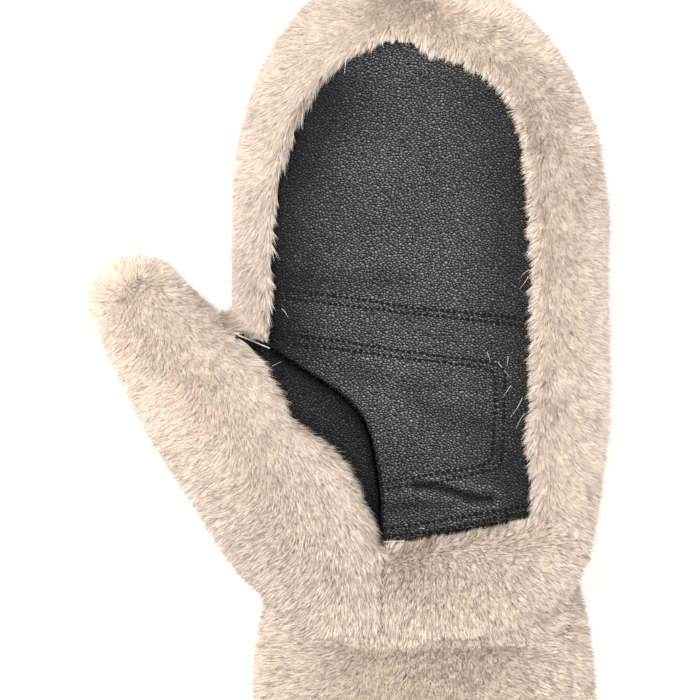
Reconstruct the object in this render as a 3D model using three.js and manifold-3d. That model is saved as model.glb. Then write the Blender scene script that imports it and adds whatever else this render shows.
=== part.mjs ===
// A plush mitten that lies on its back, palm up: a hollow shell of deep pile with a leather palm set in it.
// Millimetres. +Z is up, +Y runs to the fingertips, and the thumb is on the -X side.
import * as THREE from "three";
import { mergeVertices } from "three/addons/utils/BufferGeometryUtils.js";
import Module from "manifold-3d";

const wasm = await Module();
wasm.setup();

// Thicknesses
const PILE_WALL = 9; // backing and standing pile together
const LEATHER_RECESS = 6.3; // how far the leather lies below the tips of the pile
const SEAM_GAP = 0.3; // clear space between two panels
const FLAT_SINK = 2; // how much of the round back is pressed flat on the table

// Hand
const PALM_TOP = 50; // highest line of the pile on the palm's side
const SIDE_SEAM = 22; // height of the seam where the palm-side panels end at the hand's edge
const TIP_X = 21; // fingertip of the hand
const TIP_HEIGHT = 21;
const DOME_FOOT = 53; // where the rounding of the fingertips starts
const DOME_LENGTH = 82;
const DOME_LEFT = 60.7; // half widths at the dome's foot, measured from TIP_X
const DOME_RIGHT = 65.5;
const DOME_LEFT_FULLNESS = 0.8; // under 1 is fuller than an ellipse
const DOME_SIDE_FULLNESS = 0.6;
const DOME_STEPS = 9;
const DOME_CROWDING = 1.15; // over 1 draws the sections together near the foot
const HAND_HALF_WIDTH = 57; // typical, for how much a wall takes from a narrower section
const HAND_HALF_HEIGHT = 24;
const MOUTH = -134; // end of the cuff
const MOUTH_OVERRUN = 8; // how far the hollow runs on past the cuff's end

// Sections of the hand from the dome's foot down to the cuff's end
const handSections = [
  { at: 53, left: -39.7, right: 87, bottom: -FLAT_SINK, top: PALM_TOP },
  { at: 30, left: -40, right: 86.5, bottom: -FLAT_SINK, top: PALM_TOP },
  { at: 8, left: -38.5, right: 87.3, bottom: -FLAT_SINK, top: PALM_TOP },
  { at: -14, left: -35, right: 87.3, bottom: -FLAT_SINK, top: 49.5 },
  { at: -34, left: -32, right: 85, bottom: -FLAT_SINK, top: 49 },
  { at: -52, left: -30, right: 82, bottom: -FLAT_SINK, top: 48.5 },
  { at: -61, left: -28.5, right: 78.4, bottom: -1, top: 46 },
  { at: -67, left: -27.5, right: 76.4, bottom: 0, top: 42.5 },
  { at: -73, left: -28.5, right: 78.6, bottom: -1, top: 45.5 },
  { at: -84, left: -31, right: 80.8, bottom: -FLAT_SINK, top: 49 },
  { at: -100, left: -32.5, right: 82.3, bottom: -FLAT_SINK, top: 50.5 },
  { at: -118, left: -32.5, right: 83, bottom: -FLAT_SINK, top: 51 },
  { at: -130, left: -31.5, right: 82, bottom: -1, top: 50 },
  { at: MOUTH, left: -28.5, right: 79, bottom: 2, top: 47 },
];

// The wrist crease isn't square to the hand: on the palm's side it lies nearer the cuff
const CREASE_AT = -67;
const CREASE_BACK = 4; // shift of the crease on the table, towards the fingertips
const CREASE_LEAN = 29.5; // shift back towards the cuff at the height of CREASE_TOP
const CREASE_TOP = 45;
const LEAN_FADES_UP = 57; // over this length towards the fingertips the sections stand square again
const LEAN_FADES_DOWN = 66;
const CREASE_HEIGHTS = [-10, 0, 12, 20, 27, 33, 38, 42, 46, 50, 56, 64]; // steps of its curve

// Thumb: its own frame stands at the middle of the round tip and is turned about Z
const THUMB_TIP = { x: -70, y: 22.5 };
const THUMB_ANGLE = 32.7; // degrees, from +Y towards -X
const THUMB_RADIUS = 17.5;
const THUMB_TIP_HALF_HEIGHT = 16;
const THUMB_MID_HEIGHT = 27;
const THUMB_DOME_STEPS = 6;
const BALL_END = 4; // from the last section to the point that closes the ball of the thumb

// Sections of the thumb from its round tip down over the ball of the thumb to the wrist
const thumbSections = [
  { at: 0, left: -17.5, right: 17.5, bottom: 11, top: 43 },
  { at: -20, left: -19.6, right: 22.6, bottom: 7, top: 47.5 },
  { at: -38, left: -21.6, right: 34, bottom: 4, top: 51.5 },
  { at: -56, left: -21.4, right: 43, bottom: 2, top: 53.5 },
  { at: -71, left: -21.4, right: 48.5, bottom: 1, top: 54 },
  { at: -84, left: -21.5, right: 45, bottom: 1, top: 53.5 },
  { at: -96, left: -20.6, right: 39, bottom: 1, top: 52 },
  { at: -108, left: -18, right: 31, bottom: 2, top: 50 },
  { at: -120, left: -14, right: 24, bottom: 4, top: 47 },
  { at: -131, left: -8, right: 17, bottom: 8, top: 42 },
];

// Seams and edges in plan, each from its first end to its last
const palmRim = [
  [-25.7, 7.3], [-25.9, 24], [-25.4, 38], [-23.5, 56], [-19.7, 74.7], [-12, 90], [-4, 99.5],
  [5, 106], [16, 109.4], [28, 105.5], [42, 99.3], [52, 90], [57.3, 77], [59, 60], [61, 38],
  [60.2, 10], [60.6, -8], [58.2, -24], [61.6, -38], [60.3, -48.3],
];
const palmHem = [
  [60.3, -48.3], [44.3, -51.7], [30, -54], [19, -56.3], [11.3, -56.7],
];
const palmSeam = [
  [11.3, -56.7], [10.6, -50], [10.2, -40], [9, -31], [7, -21.7], [3.6, -14.3], [-2.3, -8],
  [-9.7, -3], [-17, 1.7], [-25.7, 7.3],
];
const webEdge = [
  [-25.7, 7.3], [-38.5, 12.7],
];
const thumbEdge = [
  [-38.5, 12.7], [-31.3, 6.7], [-26.3, -0.7], [-21.3, -8.5], [-16, -16], [-6, -24], [-0.3, -31],
  [3.8, -38.3], [7, -46.3], [11.3, -56.7],
];
const ballSeam = [
  [11.3, -56.7], [11, -70], [10.2, -84], [9.6, -112],
];
const heelSide = [
  [60.3, -48.3], [68.5, -49.5], [75, -57], [80, -64], [96, -68],
];
const crotchCut = [
  [-38.5, 12.7], [-40.3, 18.4], [-46, 30], [-54, 62],
];
const thumbRoot = [
  [-40.3, 18.4], [-37, -10], [-32, -45], [-26.4, -80],
];
const FAR = 112; // further out than the panels reach on the thumb's side, the cuff's side and below
const OUTLINE_STEPS = 3; // points between two named points of a seam

// Dents of the palm's side, along a seam: depth and half width
const palmDents = [
  { along: palmSeam, depth: 6.5, reach: 8.5 },
  { along: ballSeam, depth: 3.5, reach: 7 },
];
const DENT_FADE = 10; // over this height above the side seam a dent grows to its depth

// Mesh fineness
const HAND_SIDES = 36;
const THUMB_SIDES = 24;
const SECTION_STEP = 10; // longest way between two sections
const FULLNESS = 2.4; // of a section: 2 is an ellipse, more is boxier

const signedPower = (value, power) => Math.sign(value) * Math.abs(value) ** power;

// One column of a table at a place between its rows, on a smooth curve through them
function columnAt(rows, column, place) {
  const row = Math.min(Math.floor(place), rows.length - 2);
  const part = place - row;
  const value = (index) => rows[THREE.MathUtils.clamp(index, 0, rows.length - 1)][column];
  const [before, start, end, after] = [-1, 0, 1, 2].map((step) => value(row + step));
  const startSlope = (end - before) / 2;
  const endSlope = (after - start) / 2;
  const bend = 2 * (start - end) + startSlope + endSlope;
  const rise = 3 * (end - start) - 2 * startSlope - endSlope;
  return ((bend * part + rise) * part + startSlope) * part + start;
}

// The rows of a table with more rows between them
function refined(rows) {
  const fine = [];
  for (let row = 0; row < rows.length - 1; row++) {
    const steps = Math.ceil(Math.abs(rows[row + 1].at - rows[row].at) / SECTION_STEP);
    for (let step = 0; step < steps; step++) {
      const columns = Object.keys(rows[row]);
      const place = row + step / steps;
      fine.push(Object.fromEntries(columns.map((name) => [name, columnAt(rows, name, place)])));
    }
  }
  fine.push(rows.at(-1));
  return fine;
}

// The rounded end of the hand, from its point to its foot
function handDome() {
  const rows = [];
  for (let step = 0; step < DOME_STEPS; step++) {
    const angle = (Math.PI / 2) * (1 - step / DOME_STEPS) ** DOME_CROWDING;
    const width = step ? Math.cos(angle) : 0;
    const side = width ** DOME_SIDE_FULLNESS;
    rows.push({
      at: DOME_FOOT + DOME_LENGTH * Math.sin(angle),
      left: TIP_X - DOME_LEFT * width ** DOME_LEFT_FULLNESS,
      right: TIP_X + DOME_RIGHT * width,
      bottom: TIP_HEIGHT - (TIP_HEIGHT + FLAT_SINK) * side,
      top: TIP_HEIGHT + (PALM_TOP - TIP_HEIGHT) * side,
    });
  }
  return rows;
}

function thumbDome() {
  const rows = [];
  for (let step = 0; step < THUMB_DOME_STEPS; step++) {
    const angle = (Math.PI / 2) * (1 - step / THUMB_DOME_STEPS);
    const width = step ? Math.cos(angle) : 0;
    rows.push({
      at: THUMB_RADIUS * Math.sin(angle),
      left: -THUMB_RADIUS * width,
      right: THUMB_RADIUS * width,
      bottom: THUMB_MID_HEIGHT - THUMB_TIP_HALF_HEIGHT * width,
      top: THUMB_MID_HEIGHT + THUMB_TIP_HALF_HEIGHT * width,
    });
  }
  return rows;
}

// A closed skin through a stack of sections; `place` puts a section's point in the mitten's frame
function loft(rows, sides, inset, halfWidth, halfHeight, place) {
  const geometry = new THREE.SphereGeometry(1, sides, rows.length - 1);
  const positions = geometry.getAttribute("position");
  rows.forEach((row, index) => {
    const half = (row.right - row.left) / 2;
    const tall = (row.top - row.bottom) / 2;
    const wide = half - inset * Math.min(1, half / halfWidth);
    const high = tall - inset * Math.min(1, tall / halfHeight);
    for (let side = 0; side <= sides; side++) {
      const turn = (2 * Math.PI * side) / sides;
      const x = (row.left + row.right) / 2 - wide * signedPower(Math.cos(turn), 2 / FULLNESS);
      const z = (row.top + row.bottom) / 2 + high * signedPower(Math.sin(turn), 2 / FULLNESS);
      const point = place(x, row.at, z);
      positions.setXYZ(index * (sides + 1) + side, point.x, point.y, point.z);
    }
  });
  return solidOf(geometry);
}

// A closed geometry as a solid, and a solid as a geometry
function solidOf(geometry) {
  const bare = geometry.clone();
  bare.deleteAttribute("normal");
  bare.deleteAttribute("uv");
  const merged = mergeVertices(bare, 1e-3);
  const mesh = new wasm.Mesh({
    numProp: 3,
    vertProperties: new Float32Array(merged.getAttribute("position").array),
    triVerts: new Uint32Array(merged.index.array),
  });
  return new wasm.Manifold(mesh);
}

function geometryOf(solid) {
  const mesh = solid.getMesh();
  const geometry = new THREE.BufferGeometry();
  geometry.setAttribute("position", new THREE.BufferAttribute(mesh.vertProperties, 3));
  geometry.setIndex(new THREE.BufferAttribute(mesh.triVerts, 1));
  geometry.computeVertexNormals();
  return geometry;
}

// How far the crease leans at a height, and how much of that a section takes
const leanAt = (z) => CREASE_BACK - CREASE_LEAN * (Math.max(z, 0) / CREASE_TOP) ** 2;
function leanShare(at) {
  const fade = at > CREASE_AT ? LEAN_FADES_UP : LEAN_FADES_DOWN;
  return 1 - THREE.MathUtils.smoothstep(Math.abs(at - CREASE_AT), 0, fade);
}

// Nearest way in plan from a point to an open line of points
function distanceTo(line, x, y) {
  const point = new THREE.Vector3(x, y, 0);
  const nearest = new THREE.Vector3();
  const segment = new THREE.Line3();
  let least = Infinity;
  for (let index = 0; index < line.length - 1; index++) {
    segment.start.set(...line[index], 0);
    segment.end.set(...line[index + 1], 0);
    segment.closestPointToPoint(point, true, nearest);
    least = Math.min(least, nearest.distanceTo(point));
  }
  return least;
}

function dentAt(x, y, z) {
  const share = THREE.MathUtils.smoothstep(z, SIDE_SEAM, SIDE_SEAM + DENT_FADE);
  const depths = palmDents.map(
    (dent) => dent.depth * Math.exp(-((distanceTo(dent.along, x, y) / dent.reach) ** 2)),
  );
  return share * Math.max(...depths);
}

// The hand at a depth below the tips of the pile
function handSolid(inset) {
  const body = refined(handSections);
  const rows = [...handDome(), ...body].map((row) => {
    const rise = Math.max(0, (row.at - DOME_FOOT) / DOME_LENGTH);
    return { ...row, at: row.at - inset * rise };
  });
  if (inset) {
    rows.push({ ...rows.at(-1), at: MOUTH - MOUTH_OVERRUN });
  }
  const last = rows.at(-1);
  const middle = (last.top + last.bottom) / 2;
  rows.push({ at: last.at, left: TIP_X, right: TIP_X, bottom: middle, top: middle });
  return loft(rows, HAND_SIDES, inset, HAND_HALF_WIDTH, HAND_HALF_HEIGHT, (x, at, z) => {
    const y = at + leanShare(at) * leanAt(z);
    return new THREE.Vector3(x, y, Math.max(0, z - dentAt(x, y, z)));
  });
}

// The thumb and the ball of the thumb at a depth below the tips of the pile
function thumbSolid(inset) {
  const rows = [...thumbDome(), ...refined(thumbSections)].map((row) => {
    const rise = Math.max(0, row.at / THUMB_RADIUS);
    return { ...row, at: row.at - inset * rise };
  });
  const last = rows.at(-1);
  const middle = (last.top + last.bottom) / 2;
  const across = (last.left + last.right) / 2;
  rows.push({ at: last.at - BALL_END, left: across, right: across, bottom: middle, top: middle });
  const frame = new THREE.Matrix4()
    .makeRotationZ(THREE.MathUtils.degToRad(THUMB_ANGLE))
    .setPosition(THUMB_TIP.x, THUMB_TIP.y, 0);
  return loft(rows, THUMB_SIDES, inset, THUMB_RADIUS, THUMB_TIP_HALF_HEIGHT, (x, at, z) =>
    new THREE.Vector3(x, at, Math.max(0, z)).applyMatrix4(frame),
  );
}

// A seam's smooth run through its named points
function smoothLine(points) {
  if (points.length < 3) return points;
  const curve = new THREE.SplineCurve(points.map(([x, y]) => new THREE.Vector2(x, y)));
  return curve.getPoints((points.length - 1) * OUTLINE_STEPS).map(({ x, y }) => [x, y]);
}

// An upright block over a plan, from a height up; `grow` moves its sides out
function block(lines, from, grow, to = 2 * PALM_TOP) {
  const points = lines.flatMap((line) => line.slice(0, -1)).map(([x, y]) => new THREE.Vector2(x, y));
  const out = Math.sign(THREE.ShapeUtils.area(points)) * grow;
  const moved = points.map((point, index) => {
    const before = points.at(index - 1);
    const after = points[(index + 1) % points.length];
    const first = point.clone().sub(before).normalize();
    const second = after.clone().sub(point).normalize();
    const normal = new THREE.Vector2(first.y + second.y, -first.x - second.x).normalize();
    const spread = Math.max(0.5, normal.dot(new THREE.Vector2(first.y, -first.x)));
    return point.clone().addScaledVector(normal, out / spread);
  });
  const geometry = new THREE.ExtrudeGeometry(new THREE.Shape(moved), {
    depth: to - from,
    bevelEnabled: false,
  });
  return solidOf(geometry.translate(0, 0, from));
}

// Everything on the fingers' side of the crease, or on the cuff's side, short of it by half a gap
function sideOfCrease(direction) {
  const crease = CREASE_HEIGHTS.map((z) => [z, CREASE_AT + leanAt(z) + (direction * SEAM_GAP) / 2]);
  const farY = direction * 3 * FAR;
  const outline = [...crease, [CREASE_HEIGHTS.at(-1), farY], [CREASE_HEIGHTS[0], farY]];
  const shape = new THREE.Shape(outline.map(([z, y]) => new THREE.Vector2(z, y)));
  const geometry = new THREE.ExtrudeGeometry(shape, { depth: 4 * FAR, bevelEnabled: false });
  // The outline was drawn with height across and length up, and extruded along Z
  const turned = new THREE.Matrix4().makeBasis(
    new THREE.Vector3(0, 0, 1),
    new THREE.Vector3(0, 1, 0),
    new THREE.Vector3(-1, 0, 0),
  );
  return solidOf(geometry.applyMatrix4(turned).translate(2 * FAR, 0, 0));
}

const reversed = (line) => [...line].reverse();
const rim = smoothLine(palmRim);
const hem = smoothLine(palmHem);
const seam = smoothLine(palmSeam);
const edge = smoothLine(thumbEdge);
const side = smoothLine(heelSide);

// Ways round outside the mitten, from the end of one seam to the end of the next
const heelEnd = heelSide.at(-1);
const ballEnd = ballSeam.at(-1);
const crotchEnd = crotchCut.at(-1);
const rootEnd = thumbRoot.at(-1);
const pastHeel = [heelEnd, [heelEnd[0], -FAR], ballEnd];
const pastBall = [ballEnd, [-FAR, -FAR], [-FAR, crotchEnd[1]], crotchEnd];
const pastThumb = [crotchEnd, [-FAR, crotchEnd[1]], [-FAR, -FAR], [rootEnd[0], -FAR], rootEnd];

// Closed plans of the palm's side: each list runs on into the next one
const palmPlan = [rim, hem, seam];
const crescentPlan = [reversed(seam), reversed(edge), reversed(webEdge)];
const heelPlan = [reversed(hem), side, pastHeel, reversed(ballSeam)];
const ballPlan = [edge, ballSeam, pastBall, reversed(crotchCut)];
const thumbPlan = [crotchCut.slice(1), pastThumb, reversed(thumbRoot)];

const half = SEAM_GAP / 2;
const fingersSide = sideOfCrease(1);
const cuffSide = sideOfCrease(-1);
const pileHand = handSolid(0);
const pileForm = pileHand.add(thumbSolid(0));
const leatherForm = handSolid(LEATHER_RECESS).add(thumbSolid(LEATHER_RECESS));
const handHollow = handSolid(PILE_WALL);
const hollow = handHollow.add(thumbSolid(PILE_WALL));
const pileShell = pileForm.subtract(hollow).intersect(fingersSide);
const leatherShell = leatherForm.subtract(hollow).intersect(fingersSide);

// The largest body of a solid, without the crumbs that a cut can leave
function mainBody(solid) {
  return solid.decompose().sort((a, b) => b.volume() - a.volume())[0];
}

function backOfHand() {
  const above = SIDE_SEAM - half;
  return [palmPlan, crescentPlan, heelPlan, ballPlan]
    .map((plan) => block(plan, above, half))
    .concat(block(thumbPlan, -FAR, half))
    .reduce((shell, cut) => shell.subtract(cut), pileShell);
}

function thumbPile() {
  const region = block(ballPlan, SIDE_SEAM + half, -half).add(block(thumbPlan, -FAR, -half));
  return pileShell.intersect(region);
}

const palmSide = (shell, plan) => shell.intersect(block(plan, SIDE_SEAM + half, -half));

const pile = { color: 0xe6d4c0, roughness: 0.95, metalness: 0 };
const leather = { color: 0x3a3a3c, roughness: 0.55, metalness: 0 };

const panels = [
  { name: "back_fur", solid: backOfHand(), finish: pile },
  { name: "palm_leather", solid: palmSide(leatherShell, palmPlan), finish: leather },
  { name: "thumb_leather", solid: palmSide(leatherShell, crescentPlan), finish: leather },
  { name: "thumb_fur", solid: thumbPile(), finish: pile },
  { name: "heel_fur", solid: palmSide(pileShell, heelPlan), finish: pile },
  { name: "cuff_fur", solid: pileHand.subtract(handHollow).intersect(cuffSide), finish: pile },
];

const mitten = new THREE.Group();
for (const { name, solid, finish } of panels) {
  const panel = new THREE.Mesh(geometryOf(mainBody(solid)), new THREE.MeshStandardMaterial(finish));
  panel.name = name;
  mitten.add(panel);
}

export default mitten;
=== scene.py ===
"""A plush mitten with a leather palm, lying on its back: the looks of every panel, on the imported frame."""

import math

import bmesh
import bpy
import numpy as np
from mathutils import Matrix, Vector
from mathutils.bvhtree import BVHTree


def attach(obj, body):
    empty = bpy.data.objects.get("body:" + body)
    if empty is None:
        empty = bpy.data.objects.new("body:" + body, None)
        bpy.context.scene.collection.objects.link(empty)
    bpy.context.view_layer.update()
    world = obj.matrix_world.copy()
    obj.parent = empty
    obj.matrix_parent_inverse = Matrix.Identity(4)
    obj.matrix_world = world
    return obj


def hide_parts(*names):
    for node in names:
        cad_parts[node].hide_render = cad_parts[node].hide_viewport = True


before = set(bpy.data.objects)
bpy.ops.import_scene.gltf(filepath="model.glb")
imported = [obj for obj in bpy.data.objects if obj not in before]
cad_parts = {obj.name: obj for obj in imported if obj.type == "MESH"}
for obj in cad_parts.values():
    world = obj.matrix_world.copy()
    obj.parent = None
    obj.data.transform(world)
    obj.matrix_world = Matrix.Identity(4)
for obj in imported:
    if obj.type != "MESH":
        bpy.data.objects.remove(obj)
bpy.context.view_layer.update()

bl_info = {
    "name": "Plush Mitten",
    "version": (1, 0, 0),
    "blender": (4, 5, 0),
    "location": "3D View > Sidebar > Mitten",
    "description": "Builds a plush mitten with a leather palm, panel by panel",
    "category": "Add Mesh",
}

MM = 0.001  # plans and strands are worked out in millimetres

# Seams and edges in plan, as the panels are cut, in millimetres
PALM_RIM = (
    (-25.7, 7.3), (-25.9, 24), (-25.4, 38), (-23.5, 56), (-19.7, 74.7), (-12, 90), (-4, 99.5),
    (5, 106), (16, 109.4), (28, 105.5), (42, 99.3), (52, 90), (57.3, 77), (59, 60), (61, 38),
    (60.2, 10), (60.6, -8), (58.2, -24), (61.6, -38), (60.3, -48.3),
)
PALM_HEM = ((60.3, -48.3), (44.3, -51.7), (30, -54), (19, -56.3), (11.3, -56.7))
PALM_SEAM = (
    (11.3, -56.7), (10.6, -50), (10.2, -40), (9, -31), (7, -21.7), (3.6, -14.3), (-2.3, -8),
    (-9.7, -3), (-17, 1.7), (-25.7, 7.3),
)
WEB_EDGE = ((-25.7, 7.3), (-38.5, 12.7))
THUMB_EDGE = (
    (-38.5, 12.7), (-31.3, 6.7), (-26.3, -0.7), (-21.3, -8.5), (-16, -16), (-6, -24), (-0.3, -31),
    (3.8, -38.3), (7, -46.3), (11.3, -56.7),
)

# Stitch rows on the palm in plan, in millimetres
STITCH_ROWS = {
    "cross_upper": ((-23.7, 27.3), (-0.3, 24.3), (22, 21), (46, 18.7), (59, 17.3)),
    "cross_lower": ((-21.3, 24.3), (-0.3, 21.7), (22, 19), (43.7, 16.7), (59, 14.7)),
    "patch_outer": (
        (-20.7, 12.3), (-2.7, 10), (15, 7), (33, 4.7), (47.3, 2.7), (51.3, 0.2), (51.6, -4),
        (51.3, -10), (51, -20.3), (50.6, -27), (49.8, -31), (46.5, -33), (40, -34.3), (29.3, -36.7),
        (20.7, -37.7), (11.3, -39.3),
    ),
    "patch_inner": (
        (-19, 9.3), (0.3, 7), (18.3, 4.3), (33, 2.7), (45, 0.9), (48.1, -1.6), (48.4, -6),
        (48.3, -13), (47.6, -25), (46.9, -28.6), (44, -31), (36.3, -32.7), (29.3, -34), (20.7, -35.3),
        (12, -36.7),
    ),
    "hem_upper": ((11.3, -52.3), (22, -50.7), (36.3, -48.3), (51, -46), (60.3, -44.3)),
    "hem_lower": ((12, -55), (25.7, -53.3), (40, -50.7), (51, -48.3), (61, -46.7)),
    "seam_row": ((9.5, -28.5), (10.6, -35), (11.4, -42), (11.6, -51)),
}

# Folds of the palm leather: a line in plan, its depth and its half width, in millimetres
LEATHER_FOLDS = (
    (((22, -37.9), (28, -38.3), (34, -39.8), (40, -42), (47, -42.2)), 1.5, 1.6),
    (((31, -38.3), (37, -39.8), (43, -41.5)), 0.7, 1.0),
    (((14, -45), (24, -44.2), (33, -44.6)), 0.5, 2.2),
    (((-19, 31), (-2, 29), (18, 30)), 0.35, 4),
    (((20, -8), (30, -14), (43, -17)), 0.4, 4),
    (((0, 0), (14, -3), (30, -4)), 0.35, 3.5),
)

# How the pile is combed on the palm's side: place in plan in millimetres, the heading of the tips in
# degrees from +X, and how flat the pile lies, from 0 for upright to 1
RIM_COMB = (
    (-29, 23.7, -72, 0.75), (-37.7, 23.7, -125, 0.8), (-27.7, 50.3, -85, 0.85), (-36.3, 50.3, -150, 0.8),
    (-22, 73.7, -105, 0.9), (-31.3, 73.7, -155, 0.85), (-13, 93.7, -118, 0.9), (-23, 100.3, -155, 0.85),
    (0.3, 107, -138, 0.9), (-6.3, 117, -165, 0.8), (13.7, 113, -105, 0.75), (4, 125, 150, 0.6),
    (27, 109, -108, 0.75), (34, 126, 40, 0.6), (44, 122, 45, 0.75), (57, 116, 35, 0.8),
    (19, 121, -92, 0.5), (12, 119, -120, 0.5), (27, 118, -80, 0.5), (19, 132, 90, 0.7),
    (38, 114, -35, 0.7), (49, 107.5, -50, 0.7), (59, 98, -62, 0.7), (66.5, 85, -72, 0.7),
    (70, 67, -80, 0.65),
    (66, 109, 22, 0.8), (36, 106, -112, 0.75), (44, 100, -125, 0.75), (51, 93, -140, 0.8),
    (56, 84, -155, 0.8), (74, 99, 8, 0.85), (58, 70, -160, 0.8), (80, 80.3, -2, 0.85),
    (61, 50.3, -155, 0.75), (70.3, 50.3, -80, 0.6), (83, 50.3, -10, 0.85), (62, 23.7, -135, 0.75),
    (70.3, 23.7, -85, 0.65), (83.7, 23.7, -20, 0.85), (59.7, -3, -150, 0.75), (70.3, -3, -75, 0.65),
    (83.7, -3, -25, 0.85), (58.7, -19.7, -125, 0.9), (70.3, -23, -60, 0.65), (82.7, -23, -30, 0.85),
    (62.3, -39.7, -125, 0.8), (73.7, -43, -45, 0.75), (72, -53, -45, 0.85), (80.3, -63, -40, 0.8),
)
THUMB_COMB = (
    (-72, 41, 85, 0.6), (-60, 35, 0, 0.6), (-84, 36, 140, 0.6), (-89, 20, 175, 0.7), (-84, 6, 195, 0.8),
    (-77, -8, -162, 0.8), (-68, -24, 200, 0.8), (-58, -39, 204, 0.8), (-45, -56, 208, 0.8),
    (-31, -70, 214, 0.8), (-66, 20, -60, 0.7), (-76, 12, -110, 0.5), (-73, 0, -140, 0.6),
    (-63, -9, -155, 0.55), (-53, -24, -160, 0.55), (-43, -39, -160, 0.55), (-30, -53, -155, 0.6),
    (-14, -72, -145, 0.7), (-56.3, 23.7, -52, 0.75), (-48, 12, -57, 0.8), (-40.3, 8.7, -50, 0.9),
    (-33, 0.3, -55, 0.9), (-24.7, -9.7, -56, 0.9), (-16.3, -19.7, -57, 0.9), (-6.3, -29.7, -57, 0.9),
    (2, -39.7, -60, 0.9), (7, -49.7, -66, 0.9), (9.7, -63, -82, 0.9), (10.7, -73, -90, 0.9),
    (-61, 9, -60, 0.6), (-44, -8, -65, 0.55), (-30, -26, -70, 0.55), (-12, -44, -70, 0.6),
)
HEEL_COMB = (
    (13.7, -73, -100, 0.8), (33.7, -66.3, -75, 0.45), (63.7, -69.7, -35, 0.8), (33.7, -52.5, 62, 0.5),
    (17, -57.5, 60, 0.5), (53.7, -50, 65, 0.5), (17, -86.3, -95, 0.7), (43.7, -84.7, -65, 0.5),
    (50, -66, -60, 0.4), (22, -68, -85, 0.4), (19, -61.5, 0, 0.5), (34, -58.5, 0, 0.45), (52, -56, 5, 0.45),
)
CUFF_COMB = (
    (-16.3, -103, -150, 0.85), (-1.3, -106.3, -130, 0.7), (12, -106, -100, 0.6), (40.3, -94.7, -75, 0.5),
    (67, -99.7, -37, 0.8), (-19.7, -93, -165, 0.85), (57, -106, -50, 0.6), (27, -106, -80, 0.5),
    (-20, -125, -130, 0.85), (20, -125, -90, 0.6), (60, -125, -50, 0.8),
)

# Folds that run across the pile: a line in plan, its depth and its half width, in millimetres
PILE_FOLDS = (
    (((-27, -79.3), (-22, -86), (-5.3, -88.3), (15.3, -89.3), (32.3, -88), (43, -88.3), (56.3, -89.3),
      (65.3, -89), (70.7, -86.3), (75.7, -80.7)), 1.6, 1.9),
    (((65, -90), (70, -93.5), (72.6, -99), (73.3, -107), (73, -112)), 1.3, 1.5),
    (((11.5, -59), (12, -64), (11, -72), (10.7, -83)), 0.5, 1.5),
)

# Painted light and shade on the pile, where it is lighter or darker: a place in plan, how far it spreads in
# millimetres and by how much
PAINTED_PILE_LIGHT = (
    (-52, 0, 24, 0.18), (-8, -46, 20, -0.02), (30, -68, 18, -0.10), (72, -60, 12, 0.06),
    (22, -116, 40, 0.34), (34, -96, 9, -0.08), (72, 10, 26, 0.07), (-74, 30, 16, 0.08),
    (-73, 27, 6, 0.08), (30, 118, 26, 0.12), (22, 121, 9, 0.14), (60, 100, 20, 0.06),
    (-33, 60, 25, 0.06),
)

# Stray strands on the leather: where the root lies in millimetres, their heading in degrees and length
STRAY_HAIRS = (
    (49.3, 3, -52, 6.5), (53.7, -4.7, -128, 5), (45.7, 6.3, -65, 3.2), (52.6, 5, -80, 3),
    (17.5, -51.5, 25, 2.2),
    (-22.3, 20.7, -38, 3.6), (-25.5, 1.7, 25, 3.4), (59.7, 33.5, -160, 4), (59.4, 31.2, -118, 5),
    (57.4, -9, -112, 7.5), (58.2, -14, -128, 6), (25, -52.2, 170, 1.8),
)

# Middle lines of the hollows in millimetres: a wall that faces them is the inside of the mitten
HAND_CORE = ((-5, 23), (50, 23))  # x and z of both ends of the hand's flat core, up to CORE_TIP
CORE_TIP = 95
MIDDLE_HEIGHT = 26  # between the table and the palm's side of the mitten
THUMB_CORE = ((-70, 22.5, 27), (-59, 5, 27), (-45, -14, 27), (-22, -34, 27), (-5, -62, 26))
BALL_CORE = ((-40, -16, 27), (-22, -34, 27), (-5, -62, 26))

# Each pile panel's piece, how it is combed, and the leather's edge that its tips reach over
PILE_PANELS = {
    "back_fur": ("back_pile", RIM_COMB, PALM_RIM),
    "thumb_fur": ("thumb_pile", THUMB_COMB, THUMB_EDGE),
    "heel_fur": ("heel_pile", HEEL_COMB, PALM_HEM),
    "cuff_fur": ("cuff_pile", CUFF_COMB, PALM_HEM),
}
PIECE_SPLIT = 38  # the palm side of the hand's back is two pieces, apart at this y

# Where a wall is the inside of the mitten, and where it is the outside, as facing_out counts it
INSIDE, WALL_EDGE, OUTSIDE = -0.65, -0.5, -0.35

# How strands and locks differ, as shares of the sizes that are set
LENGTHS = (0.7, 1.1)
WIDTHS = (0.75, 1.2)
TAUPE_WIDTH = 1.7
LOCK_LENGTH, LOCK_SPREAD = 0.92, 0.16  # of the lock with number 0, and what number 1 has more
TALL_SHARE, TALL_RISE = 0.12, 1.6  # some strands stand out of the others
UPRIGHT_RISE, FOLD_SINK = 0.3, 0.2  # upright strands rise further, and those in a fold less far
BROAD_PULL = 0.35  # to the middle of the broad lock, next to the pull of the fine one
SWAY, TWIST = 0.2, 0.5  # of tips in millimetres, and of blades in radians
PALM_TAUPE = 0.55  # taupe strands past the palm's middle, next to those at the wrist

# The edge over the leather: its locks grow ragged from 5 to 1.5 mm off, and less so along the hem
RAGGED_FROM, RAGGED_FULL, HEM_RAGGED = 5, 1.5, 0.3
RAGGED_LENGTH, RAGGED_PULL = 0.8, 1.3
BROAD_SPARE, FINE_SPARE, CHANCE_SPARE = 0.7, 0.8, 0.15  # of the overhang, by lock and by chance
HEM_OVERHANG = 0.45
SHORTEST = 0.2  # what is left of a strand that is cut back
TOO_FAR = 0.4  # millimetres past its overhang, where a strand is left out

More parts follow.
